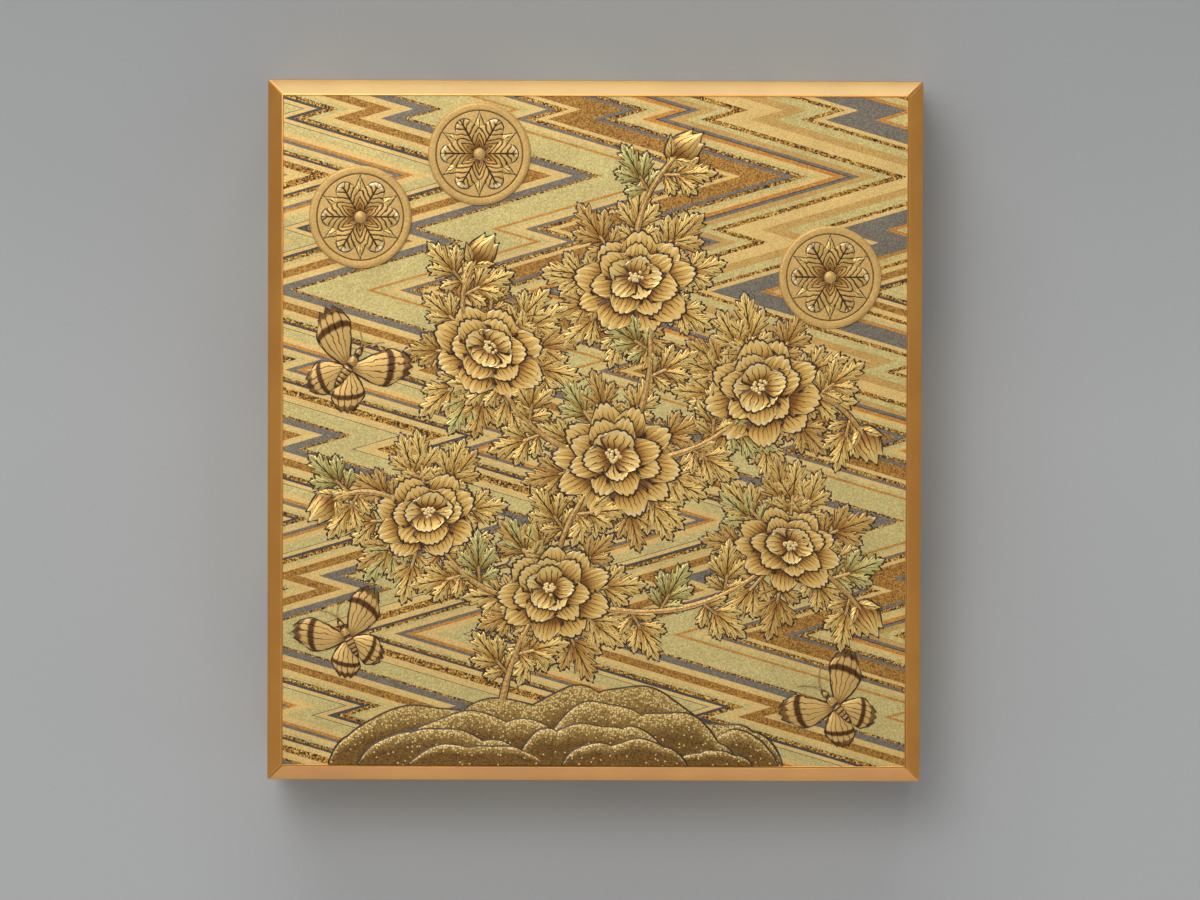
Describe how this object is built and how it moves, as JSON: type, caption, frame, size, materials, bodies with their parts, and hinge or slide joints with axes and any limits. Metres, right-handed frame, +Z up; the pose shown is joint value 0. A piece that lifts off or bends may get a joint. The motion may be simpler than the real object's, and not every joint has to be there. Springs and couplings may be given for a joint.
{
  "type": "japanese lacquer writing box",
  "caption": "Low lacquered writing box with a lift-off lid in raised gold, inkstone and water dropper on a board, and trays of brushes and tools.",
  "frame": {"origin": "middle of the underside, on the surface that the box stands on", "axes": "+Z up through the lid, +Y towards the back edge, which is the top edge of the picture, +X to the right"},
  "size_m": [0.225, 0.241, 0.0496],
  "materials": {
    "gold_lacquer": "satin",
    "raised_gold": "satin",
    "sprinkled_lacquer": "gloss",
    "black_lacquer": "gloss",
    "silver": "satin",
    "slate": "matte",
    "bamboo": "satin",
    "hair": "matte",
    "steel": "polished",
    "ink": "satin"
  },
  "bodies": {
    "base": {"base_floor_board": "black_lacquer", "base_wall_front": "gold_lacquer", "base_wall_right": "gold_lacquer", "base_wall_back": "gold_lacquer", "base_wall_left": "gold_lacquer", "base_rim_band": "silver", "riser_front": "sprinkled_lacquer", "riser_right": "sprinkled_lacquer", "riser_back": "sprinkled_lacquer", "riser_left": "sprinkled_lacquer"},
    "lid": {"lid_top_board": "gold_lacquer", "lid_wall_front": "gold_lacquer", "lid_wall_right": "gold_lacquer", "lid_wall_back": "gold_lacquer", "lid_wall_left": "gold_lacquer", "lid_rim_band": "silver", "roundel_1": "raised_gold", "roundel_2": "raised_gold", "roundel_3": "raised_gold", "flower_stems": "raised_gold", "blossom_1": "raised_gold", "blossom_2": "raised_gold", "blossom_3": "raised_gold", "blossom_4": "raised_gold", "blossom_5": "raised_gold", "blossom_6": "raised_gold", "blossom_7": "raised_gold", "butterfly_1": "raised_gold", "butterfly_2": "raised_gold", "butterfly_3": "raised_gold", "garden_bank": "raised_gold"},
    "ink_board": {"ink_board": "sprinkled_lacquer"},
    "inkstone": {"inkstone": "slate"},
    "water_dropper": {"water_dropper_body": "silver", "water_dropper_top": "silver"},
    "left_tray": {"left_tray_floor": "sprinkled_lacquer", "left_tray_wall_front": "sprinkled_lacquer", "left_tray_wall_right": "sprinkled_lacquer", "left_tray_wall_back": "sprinkled_lacquer", "left_tray_wall_left": "sprinkled_lacquer", "brush_rest": "black_lacquer"},
    "right_tray": {"right_tray_floor": "sprinkled_lacquer", "right_tray_wall_front": "sprinkled_lacquer", "right_tray_wall_right": "sprinkled_lacquer", "right_tray_wall_back": "sprinkled_lacquer", "right_tray_wall_left": "sprinkled_lacquer"},
    "brush_1": {"brush_1_handle": "bamboo", "brush_1_tuft": "hair"},
    "brush_1_cap": {"brush_1_cap": "bamboo"},
    "brush_2": {"brush_2_handle": "bamboo", "brush_2_tuft": "hair"},
    "brush_2_cap": {"brush_2_cap": "bamboo"},
    "knife": {"knife_handle": "black_lacquer", "knife_collar": "silver", "knife_blade": "steel"},
    "awl": {"awl_handle": "black_lacquer", "awl_collar": "silver", "awl_spike": "steel"},
    "ink_stick": {"ink_stick": "ink"}
  },
  "joints": [
    {"name": "lid_lift", "type": "slide", "parent": "base", "child": "lid", "axis": [0, 0, 1], "range_m": [0, 0.2]},
    {"name": "ink_board_lift", "type": "slide", "parent": "base", "child": "ink_board", "axis": [0, 0, 1], "range_m": [0, 0.05]},
    {"name": "inkstone_lift", "type": "slide", "parent": "ink_board", "child": "inkstone", "axis": [0, 0, 1], "range_m": [0, 0.025]},
    {"name": "water_dropper_lift", "type": "slide", "parent": "ink_board", "child": "water_dropper", "axis": [0, 0, 1], "range_m": [0, 0.025]},
    {"name": "left_tray_lift", "type": "slide", "parent": "ink_board", "child": "left_tray", "axis": [0, 0, 1], "range_m": [0, 0.05]},
    {"name": "right_tray_lift", "type": "slide", "parent": "ink_board", "child": "right_tray", "axis": [0, 0, 1], "range_m": [0, 0.05]},
    {"name": "brush_1_lift", "type": "slide", "parent": "left_tray", "child": "brush_1", "axis": [0, 0, 1], "range_m": [0, 0.025]},
    {"name": "brush_2_lift", "type": "slide", "parent": "left_tray", "child": "brush_2", "axis": [0, 0, 1], "range_m": [0, 0.025]},
    {"name": "brush_1_cap_slide", "type": "slide", "parent": "brush_1", "child": "brush_1_cap", "axis": [0, 1, 0], "range_m": [0, 0.042]},
    {"name": "brush_2_cap_slide", "type": "slide", "parent": "brush_2", "child": "brush_2_cap", "axis": [0, 1, 0], "range_m": [0, 0.042]},
    {"name": "knife_lift", "type": "slide", "parent": "right_tray", "child": "knife", "axis": [0, 0, 1], "range_m": [0, 0.025]},
    {"name": "awl_lift", "type": "slide", "parent": "right_tray", "child": "awl", "axis": [0, 0, 1], "range_m": [0, 0.025]},
    {"name": "ink_stick_lift", "type": "slide", "parent": "right_tray", "child": "ink_stick", "axis": [0, 0, 1], "range_m": [0, 0.025]}
  ],
  "couplings": [
    {"joint": "ink_board_lift", "follows": "lid_lift", "ratio": 0.25},
    {"joint": "inkstone_lift", "follows": "lid_lift", "ratio": 0.125},
    {"joint": "water_dropper_lift", "follows": "lid_lift", "ratio": 0.125},
    {"joint": "left_tray_lift", "follows": "lid_lift", "ratio": 0.25},
    {"joint": "right_tray_lift", "follows": "lid_lift", "ratio": 0.25},
    {"joint": "brush_1_lift", "follows": "lid_lift", "ratio": 0.125},
    {"joint": "brush_2_lift", "follows": "lid_lift", "ratio": 0.125},
    {"joint": "knife_lift", "follows": "lid_lift", "ratio": 0.125},
    {"joint": "awl_lift", "follows": "lid_lift", "ratio": 0.125},
    {"joint": "ink_stick_lift", "follows": "lid_lift", "ratio": 0.125}
  ]
}
